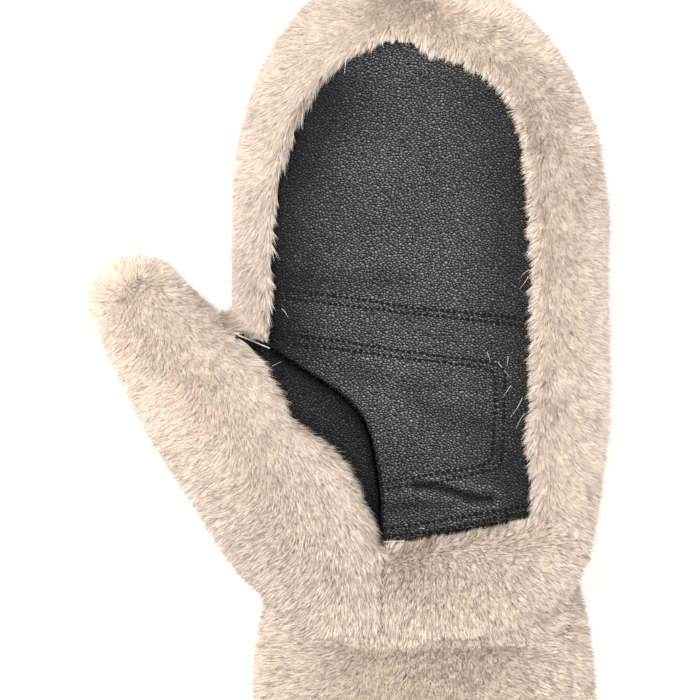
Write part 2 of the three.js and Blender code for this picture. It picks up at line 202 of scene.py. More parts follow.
# How far locks and strands turn off the comb's way, in radians, and how firm the comb is at a parting
FINE_TURN, BROAD_TURN, STRAY_TURN, PARTING_TURN = 0.3, 0.25, 0.13, 0.8
PARTED, COMBED = 0.1, 0.42

# A strand's two root corners and its tip on its map: across from its tone's column, and up
STRAND_MAP = np.array([(-0.02, 0.02, 0.0), (0.2, 0.2, 0.98)])

# How light a strand is, from 0 to 1, and what its lock, its lie, a fold, a cloud and chance change; the lie's
# and the fold's changes are painted light and shade: upright strands painted lighter against their shade,
# strands in a fold painted darker
MIDDLE_TONE, FINE_TONE, BROAD_TONE, UPRIGHT_PAINTED_LIGHT = 0.655, 0.2, 0.1, 0.25
FOLD_PAINTED_SHADE, CLOUD_TONE, CHANCE_TONE = 0.16, 0.08, 0.1
WRIST_TONE, TAUPE_TONE, WRIST_TAUPE_TONE = 0.17, 0.5, 0.3
TONE_STEPS = 12

# Soft noises: the size of the lumps in millimetres, and the salt that keeps each apart
CLOUDS = {
    "comb_broad": (11.0, 11), "comb_fine": (4.0, 12), "tone": (14.0, 41), "fold": (3.0, 61),
    "leather_broad": (17.0, 51), "leather_small": (6.0, 52),
}
FINE_SALT, BROAD_SALT = 21, 31


def spline(points, steps=8):
    """A smooth line through a few points, as an array."""
    line = np.array(points, float)
    padded = np.vstack([2 * line[0] - line[1], line, 2 * line[-1] - line[-2]])
    share = np.linspace(0, 1, steps, endpoint=False)[:, None]
    runs = []
    for before, start, end, after in zip(padded, padded[1:], padded[2:], padded[3:]):
        leave = (end - before) / 2
        arrive = (after - start) / 2
        bend = 2 * (start - end) + leave + arrive
        rise = 3 * (end - start) - 2 * leave - arrive
        runs.append(((bend * share + rise) * share + leave) * share + start)
    return np.vstack([*runs, line[-1:]])


def nearest_on(line, places):
    """For each place, the nearest point on an open line, and how far away it is."""
    start, run = line[:-1], np.diff(line, axis=0)
    length = np.maximum((run**2).sum(1), 1e-12)
    best = np.full(len(places), np.inf)
    found = np.zeros_like(places)
    for first, step, square in zip(start, run, length):
        share = np.clip(((places - first) @ step) / square, 0, 1)[:, None]
        point = first + share * step
        away = ((places - point) ** 2).sum(1)
        closer = away < best
        best[closer] = away[closer]
        found[closer] = point[closer]
    return found, np.sqrt(best)


def distance_to(line, places):
    """How far each place in plan lies from the smooth line through a few points."""
    return nearest_on(spline(line), places)[1]


def bell(away, width):
    """1 in the middle, and less over a width."""
    return np.exp(-((away / width) ** 2))


def inside(outline, places):
    """Whether each place lies within a closed outline."""
    x, y = places[:, 0], places[:, 1]
    within = np.zeros(len(places), bool)
    for (x0, y0), (x1, y1) in zip(outline, np.roll(outline, -1, axis=0)):
        crosses = (y0 > y) != (y1 > y)
        reach = (x1 - x0) * (y - y0) / np.where(y1 == y0, 1e-12, y1 - y0) + x0
        within ^= crosses & (x < reach)
    return within


def smooth_step(low, high, value):
    share = np.clip((value - low) / (high - low), 0, 1)
    return share * share * (3 - 2 * share)


def unit(vectors):
    return vectors / np.maximum(np.linalg.norm(vectors, axis=-1, keepdims=True), 1e-9)


def scattered(cells, salt):
    """A number from 0 to 1 for each whole-numbered cell, the same in every run."""
    mixed = (cells * np.array([73856093, 19349663, 83492791])).sum(-1) + salt * 2654435761
    mixed = (mixed ^ (mixed >> 15)) * 2246822519
    mixed = (mixed ^ (mixed >> 13)) * 3266489917
    return ((mixed ^ (mixed >> 16)) & 0xFFFFFF) / 0xFFFFFF


def cloud(places, size, salt):
    """Soft noise from -1 to 1, with lumps of a size."""
    cells = np.floor(places / size).astype(np.int64)
    share = places / size - cells
    share = share * share * (3 - 2 * share)
    total = np.zeros(len(places))
    for corner in np.ndindex(2, 2, 2):
        weight = np.prod(np.where(corner, share, 1 - share), axis=1)
        total += weight * scattered(cells + corner, salt)
    return 2 * total - 1


def locks(places, size, salt):
    """The lock of pile that each place belongs to: its middle, and its number from 0 to 1."""
    base = np.floor(places / size).astype(np.int64)
    best = np.full(len(places), np.inf)
    middle = np.zeros_like(places)
    number = np.zeros(len(places))
    for offset in np.ndindex(3, 3, 3):
        cells = base + offset - 1
        jitter = np.stack([scattered(cells, salt + axis) for axis in range(3)], axis=1)
        seed = (cells + jitter) * size
        away = ((places - seed) ** 2).sum(1)
        closer = away < best
        best[closer] = away[closer]
        middle[closer] = seed[closer]
        number[closer] = scattered(cells[closer], salt + 3)
    return middle, number


class Wire:
    """A shader socket that is added, scaled and compared as a number is."""

    def __init__(self, finish, socket):
        self.finish = finish
        self.socket = socket

    def maths(self, operation, *values):
        return self.finish.node("Math", {"operation": operation}, dict(enumerate(values)))[0]

    def __add__(self, other):
        return self.maths("ADD", self, other)

    def __sub__(self, other):
        return self.maths("SUBTRACT", self, other)

    def __rsub__(self, other):
        return self.maths("SUBTRACT", other, self)

    def __mul__(self, other):
        return self.maths("MULTIPLY", self, other)

    def __pow__(self, other):
        return self.maths("POWER", self, other)

    __radd__ = __add__
    __rmul__ = __mul__


class Outputs:
    """A node's outputs, by place or by name."""

    def __init__(self, finish, node):
        self.finish = finish
        self.sockets = node.outputs

    def __getitem__(self, key):
        return Wire(self.finish, self.sockets[key])


class Finish:
    """A material and its nodes. What is the same all over goes straight on the shader."""

    def __init__(self, name, constants):
        self.material = bpy.data.materials.new(name)
        self.material.use_nodes = True
        self.tree = self.material.node_tree
        self.shader = self.tree.nodes["Principled BSDF"]
        for socket, value in constants.items():
            self.shader.inputs[socket].default_value = value

    def node(self, kind, settings=None, sockets=None):
        made = self.tree.nodes.new(f"ShaderNode{kind}")
        for setting, value in (settings or {}).items():
            if setting == "stops":
                self.set_stops(made.color_ramp, value)
            else:
                setattr(made, setting, value)
        for key, value in (sockets or {}).items():
            self.join(value, made.inputs[key])
        return Outputs(self, made)

    @staticmethod
    def set_stops(ramp, stops):
        while len(ramp.elements) < len(stops):
            ramp.elements.new(1)
        for element, (place, colour) in zip(ramp.elements, stops):
            element.position = place
            element.color = colour

    def join(self, value, socket):
        if isinstance(value, Wire):
            self.tree.links.new(value.socket, socket)
        else:
            socket.default_value = value

    def feed(self, name, value):
        self.join(value, self.shader.inputs[name])

    def mix(self, share, first, second, blend="MIX"):
        settings = {"data_type": "RGBA", "blend_type": blend}
        return self.node("Mix", settings, {0: share, 6: first, 7: second})[2]

    def noise(self, place, scale, detail):
        return self.node("TexNoise", {}, {"Vector": place, "Scale": scale, "Detail": detail})[0]

    def ramp(self, value, *stops):
        """The colours at a few stops, blended between them."""
        full = [(stop, colour(rgb)) for stop, rgb in stops]
        return self.node("ValToRGB", {"stops": full}, {0: value})["Color"]

    def bump(self, height, distance, strength=1.0):
        values = {"Height": height, "Distance": distance, "Strength": strength}
        self.feed("Normal", self.node("Bump", {}, values)["Normal"])


def colour(rgb):
    return (*rgb, 1.0)


def shade(rgb, factor):
    return tuple(channel * factor for channel in rgb)


def pile_finish(settings):
    """Strands: darker at the root, cream at the tip, in tones that run across the strand's map."""
    finish = Finish("cream_pile", {"Roughness": 0.8, "Sheen Weight": 0.25, "Sheen Roughness": 0.4,
                                   "Specular IOR Level": 0.25})
    places = finish.node("UVMap", {"uv_map": "OFBake"})["UV"]
    split = finish.node("SeparateXYZ", {}, {0: places})
    along = finish.ramp(split["Y"], (0.0, settings.root_colour), (0.45, settings.middle_colour),
                        (0.85, settings.tip_colour))
    tone = finish.ramp(split["X"], (0.0, (0.36, 0.32, 0.29)), (0.3, (0.64, 0.61, 0.58)),
                       (0.6, (1.0, 1.0, 1.0)), (1.0, (1.2, 1.2, 1.19)))
    finish.feed("Base Color", finish.mix(1.0, along, tone, "MULTIPLY"))
    return finish.material


def pile_base_finish(settings):
    """What shows between the strands: their roots on the backing."""
    finish = Finish("pile_base", {"Roughness": 0.95, "Sheen Weight": 0.2, "Specular IOR Level": 0.2})
    fine = finish.noise(finish.node("TexCoord")["Object"], 1800.0, 3.0)
    finish.feed("Base Color", finish.mix(fine, colour(settings.root_colour), colour(settings.tip_colour)))
    finish.bump(fine, 0.0006)
    return finish.material


def backing_finish():
    """The knitted backing inside the mitten: fine rows of loops."""
    finish = Finish("knit_backing", {"Roughness": 0.95, "Sheen Weight": 0.3, "Specular IOR Level": 0.2})
    place = finish.node("TexCoord")["Object"]
    rows = finish.node("TexWave", {"bands_direction": "Y"},
                       {"Vector": place, "Scale": 260.0, "Distortion": 1.2, "Detail": 1.0})
    wales = finish.node("TexWave", {"bands_direction": "X"},
                        {"Vector": place, "Scale": 340.0, "Distortion": 1.0, "Detail": 1.0})
    loops = rows["Fac"] * wales["Fac"]
    light_share = loops * 0.6 + finish.noise(place, 90.0, 3.0) * 0.4
    dark, light = colour((0.40, 0.33, 0.26)), colour((0.68, 0.59, 0.49))
    finish.feed("Base Color", finish.mix(light_share, dark, light))
    finish.bump(loops, 0.0005)
    return finish.material


def leather_finish(settings, name, darkness):
    """Pebbled leather with painted light: grains painted pale on their upper side and dark in their creases,
    with painted shade towards the edges.
    """
    finish = Finish(name, {"Specular IOR Level": settings.gloss})
    scale = 1.0 / settings.grain_size
    place = finish.node("TexCoord")["Object"]
    turned = finish.node("Mapping", {}, {"Vector": place, "Rotation": (0.0, 0.0, math.radians(-40)),
                                         "Scale": (0.8, 1.2, 0.0)})["Vector"]
    warp = finish.node("TexNoise", {"noise_dimensions": "2D"},
                       {"Vector": turned, "Scale": 800.0, "Detail": 2.0})["Color"]
    shifted = finish.node("VectorMath", {"operation": "MULTIPLY_ADD"},
                          {0: warp, 1: (0.0009, 0.0009, 0.0), 2: turned})["Vector"]
    above = finish.node("VectorMath", {"operation": "ADD"}, {0: shifted, 1: (0.0002, 0.00013, 0.0)})

    def cells(spot, feature):
        settings = {"voronoi_dimensions": "2D", "feature": feature}
        return finish.node("TexVoronoi", settings, {"Vector": spot, "Scale": scale})["Distance"]

    # Painted light: a grain is painted lighter on the side where the next place up is further from its
    # middle, as if lit from above, and darker on the other side
    here = cells(shifted, "F1")
    painted_grain_light = (cells(above["Vector"], "F1") - here) * 1.5 + 0.46
    # Painted shade: the creases are dark in the colour as well as sunk by the bump
    creases = finish.ramp(cells(shifted, "DISTANCE_TO_EDGE"), (0.02, (0, 0, 0)), (0.28, (1, 1, 1)))
    small = finish.noise(place, 2.2 * scale, 2.0)
    broad = finish.noise(place, 60.0, 3.0)
    # Painted shade that the panel carries, darker towards its edges and in its folds
    swell = finish.node("Attribute", {"attribute_name": "swell"})["Fac"]
    grain = painted_grain_light * creases * (0.7 + small * 0.6) * (0.85 + broad * 0.3)
    # A painted light level below 1 darkens the whole copy of the leather as painted shade
    low = colour(shade(settings.colour, 0.04 * darkness))
    top = colour(shade(settings.colour, darkness))
    finish.feed("Base Color", finish.mix(grain * swell, low, top))
    finish.feed("Roughness", 0.38 + broad * 0.14 + small * 0.1)
    finish.bump(creases - here * 0.6, settings.grain_depth)
    return finish.material


def thread_finish():
    finish = Finish("black_thread", {"Base Color": colour((0.006, 0.006, 0.006)), "Specular IOR Level": 0.15})
    twist = finish.noise(finish.node("TexCoord")["Object"], 5000.0, 1.0)
    finish.feed("Roughness", 0.5 + twist * 0.25)
    finish.bump(twist, 0.0001)
    return finish.material


def fold_highlight_finish():
    """Painted highlight along the leather's folded edge: a pale beige line, paler than the grain."""
    finish = Finish("folded_edge", {"Specular IOR Level": 0.4})
    worn = finish.noise(finish.node("TexCoord")["Object"], 900.0, 2.0)
    finish.feed("Base Color", finish.mix(worn, colour((0.40, 0.36, 0.31)), colour((0.82, 0.75, 0.66))))
    finish.feed("Roughness", 0.4 + worn * 0.2)
    finish.bump(worn, 0.0001)
    return finish.material


def floor_finish(settings):
    finish = Finish("studio_floor", {"Roughness": 0.9, "Specular IOR Level": 0.1, "Emission Strength": 0.3})
    finish.feed("Base Color", colour(settings.floor_colour))
    finish.feed("Emission Color", colour(settings.floor_colour))
    return finish.material


def finish_named(name, maker, *values):
    """A material that several pieces share, made once."""
    return bpy.data.materials.get(name) or maker(*values)


def placed(name, data):
    """A new object in the scene, at the origin."""
    made = bpy.data.objects.new(name, data)
    bpy.context.scene.collection.objects.link(made)
    return made


def piece_from(name, mesh, slot, *materials):
    """Puts a finished mesh into the scene as a piece that rides on the mitten."""
    piece = placed(name, mesh)
    for material in materials:
        mesh.materials.append(material)
    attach(piece, "root")
    return piece


def mesh_from(name, points, polygons):
    """A mesh of points that are given in millimetres."""
    mesh = bpy.data.meshes.new(name)
    mesh.from_pydata((np.array(points) * MM).tolist(), [], polygons)
    return mesh


def smooth_shaded(mesh):
    mesh.polygons.foreach_set("use_smooth", np.ones(len(mesh.polygons), bool))


def tree_of(mesh):
    """A search tree over a mesh, in metres."""
    points = [vertex.co for vertex in mesh.vertices]
    return BVHTree.FromPolygons(points, [polygon.vertices for polygon in mesh.polygons])


def panel_tree(node):
    return tree_of(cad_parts[node].data)


def facing_out(node, places, normals):
    """How much a wall turns away from the hollow that it lies round: 1 outside, -1 inside."""
    if node == "thumb_fur":
        core, _ = nearest_on(spline(THUMB_CORE), places)
        return (unit(places - core) * normals).sum(1)
    (x0, height), (x1, _) = HAND_CORE
    hand = np.stack([np.clip(places[:, 0], x0, x1), np.minimum(places[:, 1], CORE_TIP),
                     np.full(len(places), float(height))], axis=1)
    ball, to_ball = nearest_on(spline(BALL_CORE), places)
    to_hand = np.linalg.norm(places - hand, axis=1)
    core = np.where((to_ball < to_hand)[:, None], ball, hand)
    return (unit(places - core) * normals).sum(1)


def smoothed(form, rounds=1, flat=False):
    """Evens a form out, a flat one in its height alone."""
    for _ in range(rounds):
        bmesh.ops.smooth_vert(form, verts=form.verts, factor=0.5,
                              use_axis_x=not flat, use_axis_y=not flat, use_axis_z=True)


def remeshed(node, voxel, rounds):
    """A copy of a panel's outer form as an even, smoothed skin."""
    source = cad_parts[node].data.copy()
    form = bmesh.new()
    form.from_mesh(source)
    bmesh.ops.remove_doubles(form, verts=form.verts, dist=1e-6)
    form.to_mesh(source)
    form.free()
    holder = placed("form", source)
    modifier = holder.modifiers.new("even", "REMESH")
    modifier.mode = "VOXEL"
    modifier.voxel_size = voxel
    graph = bpy.context.evaluated_depsgraph_get()
    form = bmesh.new()
    form.from_mesh(holder.evaluated_get(graph).to_mesh())
    bpy.data.objects.remove(holder)
    bpy.data.meshes.remove(source)
    smoothed(form, rounds)
    form.normal_update()
    return form


def vertices_of(form):
    """Where a form's vertices lie, in millimetres, and their normals."""
    places = np.array([vertex.co for vertex in form.verts]) / MM
    return places, np.array([vertex.normal for vertex in form.verts])


class Skin:
    """The backing of a pile panel, a little below the tips, with the faces that carry strands."""

    def __init__(self, node, settings):
        form = remeshed(node, settings.voxel, settings.smoothing)
        places, normals = vertices_of(form)
        out = facing_out(node, places, normals)
        others = [panel_tree(other) for other in PILE_PANELS if other != node]
        joined = facing_another(places, normals, others, settings.joint_reach)
        self.sink(form, node, out, joined, settings)
        smoothed(form)
        bmesh.ops.triangulate(form, faces=form.faces)
        form.normal_update()
        self.places, self.normals = vertices_of(form)
        self.corners = np.array([[vertex.index for vertex in face.verts] for face in form.faces])
        self.outer = out[self.corners].mean(1) > WALL_EDGE
        for face, outer in zip(form.faces, self.outer):
            face.material_index = 0 if outer else 1
        self.mesh = bpy.data.meshes.new(node)
        form.to_mesh(self.mesh)
        form.free()
        smooth_shaded(self.mesh)
        self.tree = tree_of(self.mesh)
        first, second, third = np.moveaxis(self.places[self.corners], 1, 0)
        self.areas = np.linalg.norm(np.cross(second - first, third - first), axis=1) / 2
        self.rise = unit(self.normals[self.corners].mean(1))[:, 2]
        palm_share = smooth_step(-0.75, 0.05, self.rise)
        density = settings.back_density + (settings.palm_density - settings.back_density) * palm_share
        hidden_share = 0.3
        self.weight = density * np.where(joined[self.corners].all(1), hidden_share, 1.0)

    @staticmethod
    def sink(form, node, out, joined, settings):
        """Moves the skin down from the tips to the roots, under the leather and into the folds."""
        places, normals = vertices_of(form)
        depth = settings.depth / MM * smooth_step(INSIDE, OUTSIDE, out)
        depth[joined] = -settings.joint_fill / MM
        sunk = places - normals * depth[:, None]
        covered = overhang(PILE_PANELS[node][2], places[:, :2]) * (normals[:, 2] > 0) * (out > -0.4)
        sunk[:, 2] -= settings.dive / MM * smooth_step(0, 1, covered)
        sunk[:, 2] -= fold_dip(places, normals)
        sunk[:, 2] = np.maximum(sunk[:, 2], settings.floor_clearance / MM)
        for vertex, place in zip(form.verts, sunk):
            vertex.co = Vector(place * MM)


def facing_another(places, normals, trees, reach):
    """Whether each place has another pile panel close in front of it."""
    found = []
    clear = 1e-4
    for place, normal in zip(places * MM, normals):
        start, way = Vector(place + normal * clear), Vector(normal)
        found.append(any(tree.ray_cast(start, way, reach)[0] is not None for tree in trees))
    return np.array(found)


def comb(guides, places, normals, settings):
    """Which way the pile runs at each place, on the surface, and how firmly it is combed so, up to 1."""
    table = np.array(guides)
    headings = np.radians(table[:, 2])
    ways = np.stack([np.cos(headings), np.sin(headings)], axis=1) * table[:, 3:4]
    away = ((places[:, None, :2] - table[None, :, :2]) ** 2).sum(2)
    weights = 1 / (away + settings.comb_blend**2) ** 2
    palm = np.column_stack([(weights @ ways) / weights.sum(1)[:, None], np.zeros(len(places))])
    broad_turn, fine_turn = 0.16, 0.10
    turn = broad_turn * cloud(places, *CLOUDS["comb_broad"])
    turn += fine_turn * cloud(places, *CLOUDS["comb_fine"])
    palm = palm + turn[:, None] * np.cross(palm, (0.0, 0.0, 1.0))
    # The heading on a flat palm is carried round the surface as it turns down to the table
    rise = np.clip(normals[:, 2], -0.9, 1)
    lean = (palm * normals).sum(1) / (1 + rise)
    palm = palm - lean[:, None] * (normals + np.array([0.0, 0.0, 1.0]))
    back_way = (0.0, -0.9, 0.0)
    nap = np.tile(back_way, (len(places), 1))
    back = smooth_step(0.1, -0.6, rise)[:, None]
    way = palm * (1 - back) + nap * back
    way = way - (way * normals).sum(1)[:, None] * normals
    return unit(way), np.linalg.norm(way, axis=1)


def overhang(edge, places):
    """How far each place reaches in over the leather past a panel's own edge, in millimetres."""
    far = 6  # more than any tip reaches, so no other panel's strands cross the thumb's strip
    reach = np.zeros(len(places))
    for border in ((PALM_RIM, PALM_HEM, PALM_SEAM), (THUMB_EDGE, PALM_SEAM, WEB_EDGE)):
        outline = np.vstack([spline(line)[:-1] for line in border])
        near = np.flatnonzero(((places > outline.min(0)) & (places < outline.max(0))).all(1))
        near = near[inside(outline, places[near])]
        reach[near] = distance_to(edge, places[near])
        if border[0] is THUMB_EDGE and edge is not THUMB_EDGE:
            reach[near] += far
            reach[distance_to(WEB_EDGE, places) < 0.9] = far
        for corner, cut_back in ((WEB_EDGE[1], 3.5), (PALM_RIM[8], 2.2)):
            away = np.linalg.norm(places[near] - corner, axis=1)
            reach[near] += cut_back * smooth_step(17, 5, away)
    return reach


def fold_dip(places, normals):
    """How far down in a fold of the pile each place lies, in millimetres, on the palm's side."""
    dip = np.zeros(len(places))
    for line, depth, width in PILE_FOLDS:
        dip = np.maximum(dip, depth * bell(distance_to(line, places[:, :2]), width))
    return dip * smooth_step(0.1, 0.5, normals[:, 2])


def painted_pile_light(places):
    """How much lighter or darker the pile is painted at each place in plan: painted light and shade."""
    total = np.zeros(len(places))
    for x, y, spread, change in PAINTED_PILE_LIGHT:
        total += change * bell(np.hypot(places[:, 0] - x, places[:, 1] - y), spread)
    return total


def wristward(roots):
    """How near each root is to the wrist, from 0 past the palm's middle to 1 at the heel."""
    return smooth_step(-10, -70, roots[:, 1])


def bend_of(skin, guides, faces, settings):
    """How fast the skin turns down ahead of the pile on each face, for each millimetre."""
    middles = skin.places[skin.corners[faces]].mean(1)
    normals = unit(skin.normals[skin.corners[faces]].mean(1))
    way, _ = comb(guides, middles, normals, settings)
    bend = np.zeros(len(faces))
    reach = 3.0
    most_up, most_down = -0.06, 0.11
    for index, place in enumerate((middles + way * reach) * MM):
        found = skin.tree.find_nearest(Vector(place))
        bend[index] = np.dot(normals[index] - found[1], way[index]) / reach
    return np.clip(bend, most_up, most_down)


def scattered_roots(skin, faces, count, draw):
    """Even but random roots on some faces: each one's face, place and normal."""
    steps = np.cumsum(skin.areas[faces] * skin.weight[faces])
    steps = steps / steps[-1]
    picks = np.searchsorted(steps, (np.arange(count) + draw.random(count)) / count)
    picks = np.minimum(picks, len(faces) - 1)
    first, second = draw.random((2, count))
    flip = first + second > 1
    first[flip], second[flip] = 1 - first[flip], 1 - second[flip]
    shares = np.stack([1 - first - second, first, second], axis=1)[:, :, None]
    corners = skin.corners[faces][picks]
    return picks, (skin.places[corners] * shares).sum(1), unit((skin.normals[corners] * shares).sum(1))


def tones_of(roots, lie, fold, fine, broad, taupe, draw):
    """The column of the strands' map that each strand's tone is in."""
    low = wristward(roots)
    # Upright strands are painted lighter against their own shade, and strands in a fold are painted darker as
    # painted shade
    upright = np.maximum(0.72 - lie, 0)
    tone = MIDDLE_TONE + FINE_TONE * (fine - 0.5) + BROAD_TONE * (broad - 0.5) + UPRIGHT_PAINTED_LIGHT * upright
    tone += painted_pile_light(roots[:, :2]) - FOLD_PAINTED_SHADE * fold * (0.4 + cloud(roots, *CLOUDS["fold"]))
    tone += CLOUD_TONE * cloud(roots, *CLOUDS["tone"]) + CHANCE_TONE * draw.standard_normal(len(roots))
    tone += WRIST_TONE * low - np.where(taupe, TAUPE_TONE + WRIST_TAUPE_TONE * low, 0)
    return (np.floor(np.clip(tone, 0, 0.999) * TONE_STEPS) + 0.5) / TONE_STEPS


def strands(skin, panel, faces, count, seed, settings):
    """Corner points and map of about `count` strands, each a narrow blade from the skin to its tip."""
    _, guides, edge = panel
    at_hem = edge is PALM_HEM
    draw = np.random.default_rng(seed)
    picks, roots, normals = scattered_roots(skin, faces, count, draw)
    way, firm = comb(guides, roots, normals, settings)
    lie = np.clip(firm, settings.least_lie, 1)
    bend = bend_of(skin, guides, faces, settings)[picks]
    fine_middle, fine = locks(roots, settings.fine_lock / MM, FINE_SALT)
    broad_middle, broad = locks(roots, settings.broad_lock / MM, BROAD_SALT)

    loose = STRAY_TURN + PARTING_TURN * smooth_step(COMBED, PARTED, firm)
    turn = FINE_TURN * (fine - 0.5) + BROAD_TURN * (broad - 0.5) + loose * draw.standard_normal(count)
    side = np.cross(normals, way)
    way = unit(way * np.cos(turn)[:, None] + side * np.sin(turn)[:, None])
    side = np.cross(normals, way)

    ragged = smooth_step(RAGGED_FROM, RAGGED_FULL, distance_to(edge, roots[:, :2]))
    ragged = ragged * (HEM_RAGGED if at_hem else 1)
    fold = fold_dip(roots, normals)
    run = settings.run / MM * lie * draw.uniform(*LENGTHS, count) * (LOCK_LENGTH + LOCK_SPREAD * fine)
    run = run * (1 + ragged * RAGGED_LENGTH * (fine**2 + broad**2))
    rise = settings.rise / MM * (1 + UPRIGHT_RISE * (1 - lie)) * draw.uniform(*LENGTHS, count)
    tall = np.where(draw.random(count) < TALL_SHARE, TALL_RISE, 1)
    rise = rise * (LOCK_LENGTH + LOCK_SPREAD * broad) * tall * (1 - FOLD_SINK * fold)
    gather = settings.clump * (1 + RAGGED_PULL * ragged)[:, None]
    pull = gather * ((fine_middle - roots) + BROAD_PULL * (broad_middle - roots))
    pull = pull - (pull * normals).sum(1)[:, None] * normals
    sway = SWAY * draw.standard_normal((count, 1)) * side

    def tips():
        drop = bend * run**2 / 2
        return roots + way * run[:, None] + normals * (rise - drop)[:, None] + pull + sway

    # A tip that reaches too far over the leather is cut back, and what is still too long left out
    longest = settings.overhang / MM * (HEM_OVERHANG if at_hem else 1)
    spare = longest * (BROAD_SPARE * broad**2 + FINE_SPARE * fine**2 + CHANCE_SPARE * draw.random(count))
    above = (normals[:, 2] > -0.2) | (roots[:, 2] > MIDDLE_HEIGHT)
    past = (overhang(edge, tips()[:, :2]) - spare) * above
    run = np.maximum(run - np.maximum(past, 0), SHORTEST * run)
    ends = tips()
    halfway = (roots + ends)[:, :2] / 2
    past = np.maximum(overhang(edge, ends[:, :2]), overhang(edge, halfway)) - spare
    kept = (past < TOO_FAR) | ~above

    twist = draw.normal(0, TWIST, count)
    edge_way = side * np.cos(twist)[:, None] + normals * np.sin(twist)[:, None]
    # Taupe strands are partly the pile's own darker strands and partly painted shade for the dark gaps
    # between locks, more of them towards the wrist
    taupe_share = settings.dark_share * (PALM_TAUPE + (1 - PALM_TAUPE) * wristward(roots))
    taupe = draw.random(count) < taupe_share
    wide = draw.uniform(*WIDTHS, count) * np.where(taupe, TAUPE_WIDTH, 1)
    half = settings.width / MM / 2 * wide[:, None] * edge_way
    foot = roots + way * (0.08 * run)[:, None] + normals * 0.15
    vertices = np.stack([foot - half, foot + half, ends], axis=1)
    off_table = 0.05
    vertices[:, :, 2] = np.maximum(vertices[:, :, 2], off_table)
    column = tones_of(roots, lie, fold, fine, broad, taupe, draw)[:, None] + STRAND_MAP[0]
    return vertices[kept], np.stack([column, np.tile(STRAND_MAP[1], (count, 1))], axis=2)[kept]


def strand_mesh(name, vertices, places):
    """Joins strands of three points into one mesh with their map."""
    count = len(vertices)
    mesh = bpy.data.meshes.new(name)
    mesh.vertices.add(count * 3)
    mesh.vertices.foreach_set("co", (vertices * MM).astype(np.float32).ravel())
    mesh.loops.add(count * 3)
    mesh.loops.foreach_set("vertex_index", np.arange(count * 3, dtype=np.int32))
    mesh.polygons.add(count)
    mesh.polygons.foreach_set("loop_start", np.arange(count, dtype=np.int32) * 3)
    mesh.update(calc_edges=True)
    layer = mesh.uv_layers.new(name="OFBake")
    layer.data.foreach_set("uv", places.astype(np.float32).ravel())
    return mesh


def looped(outline):
    return np.vstack([outline, outline[:1]])


class LeatherForm:
    """The height of a leather panel over its plan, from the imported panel, and its cut edge."""

    rounded = 0.9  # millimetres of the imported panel's edge that are rounded over
    slope_reach = 2.5  # millimetres further in, over which the slope at the edge is taken
    steepest = 0.7

    def __init__(self, node, tucked, shown, tuck):
        self.tree = panel_tree(node)
        rim = spline(tucked)
        others = [spline(line)[:-1] for line in shown]
        self.cad_outline = np.vstack([rim[:-1], *others])
        ends = np.minimum(np.linalg.norm(rim - rim[0], axis=1), np.linalg.norm(rim - rim[-1], axis=1))
        run = np.gradient(rim, axis=0)
        out = unit(np.column_stack([-run[:, 1], run[:, 0]]))
        grown = rim + out * (tuck * smooth_step(0, 8, ends))[:, None]
        self.outline = np.vstack([grown[:-1], *others])

    def height_at(self, places):
        """Heights in millimetres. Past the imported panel's edge the surface runs on as it was."""
        edge, away = nearest_on(looped(self.cad_outline), places)
        within = inside(self.cad_outline, places)
        depth = np.where(within, away, -away)
        inward = unit(np.where(within[:, None], places - edge, edge - places))
        safe = np.where((depth < self.rounded)[:, None], edge + inward * self.rounded, places)
        near_height = self.drop(safe)
        far_height = self.drop(edge + inward * (self.rounded + self.slope_reach))
        slope = np.clip((near_height - far_height) / self.slope_reach, -self.steepest, self.steepest)
        return near_height + slope * np.maximum(self.rounded - depth, 0)

    def drop(self, places):
        heights = on_surface(self.tree, places)[0][:, 2]
        return np.where(np.isnan(heights), np.nanmean(heights), heights)


def leather_relief(places, edges, folds):
    """What is added to a leather panel's height: rolled edges and folds."""
    relief = np.zeros(len(places))
    for line, depth, width in edges:
        share = np.clip(1 - distance_to(line, places) / width, 0, 1)
        relief -= depth * (1 - np.sqrt(1 - share**2))
    for line, depth, width in folds:
        away = distance_to(line, places)
        relief += depth * (0.45 * bell(away - 1.8 * width, width) - bell(away, width))
    return relief


def stitch_grooves(places, rows, depth):
    """How far the leather sinks along its stitch rows."""
    return -sum((depth * bell(distance_to(line, places), 0.9) for line in rows), np.zeros(len(places)))


def leather_waves(places, broad, small):
    """Soft unevenness of the leather, in waves of two sizes."""
    flat = np.column_stack([places, np.zeros(len(places))])
    return broad * cloud(flat, *CLOUDS["leather_broad"]) + small * cloud(flat, *CLOUDS["leather_small"])


def painted_leather_shading(places, relief, shaded_edges):
    """Painted shade on the grain's tops at each place: darker near the shaded edges and in folds, lighter on
    the folds' ridges, with soft waves of tone.
    """
    swell = np.ones(len(places))
    for line, width, least in shaded_edges:
        swell *= least + (1 - least) * smooth_step(0, width, distance_to(line, places))
    return np.clip(swell * (1 + 0.8 * relief) + leather_waves(places, 0.12, 0.06), 0.05, 1.4)


def leather_grid(form, pitch):
    """A flat grid over the panel's plan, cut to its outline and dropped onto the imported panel."""
    low, high = form.outline.min(0) - pitch, form.outline.max(0) + pitch
    columns, rows = np.ceil((high - low) / pitch).astype(int)
    grid = bmesh.new()
    bmesh.ops.create_grid(grid, x_segments=int(columns), y_segments=int(rows), size=0.5)
    places = np.array([vertex.co[:2] for vertex in grid.verts]) + 0.5
    places = low + places * np.array([columns, rows]) * pitch
    edge, away = nearest_on(looped(form.outline), places)
    past = np.where(inside(form.outline, places), -away, away)
    near = np.abs(past) < 0.5 * pitch
    places[near] = edge[near]
    keep = past < 0.5 * pitch
    heights = np.zeros(len(places))
    heights[keep] = form.height_at(places[keep])
    for vertex, place, height in zip(grid.verts, places, heights):
        vertex.co = (place[0] * MM, place[1] * MM, height * MM)
    gone = [vertex for vertex, stays in zip(list(grid.verts), keep) if not stays]
    bmesh.ops.delete(grid, geom=gone, context="VERTS")
    loose = [vertex for vertex in grid.verts if not vertex.link_faces]
    bmesh.ops.delete(grid, geom=loose, context="VERTS")
    return grid


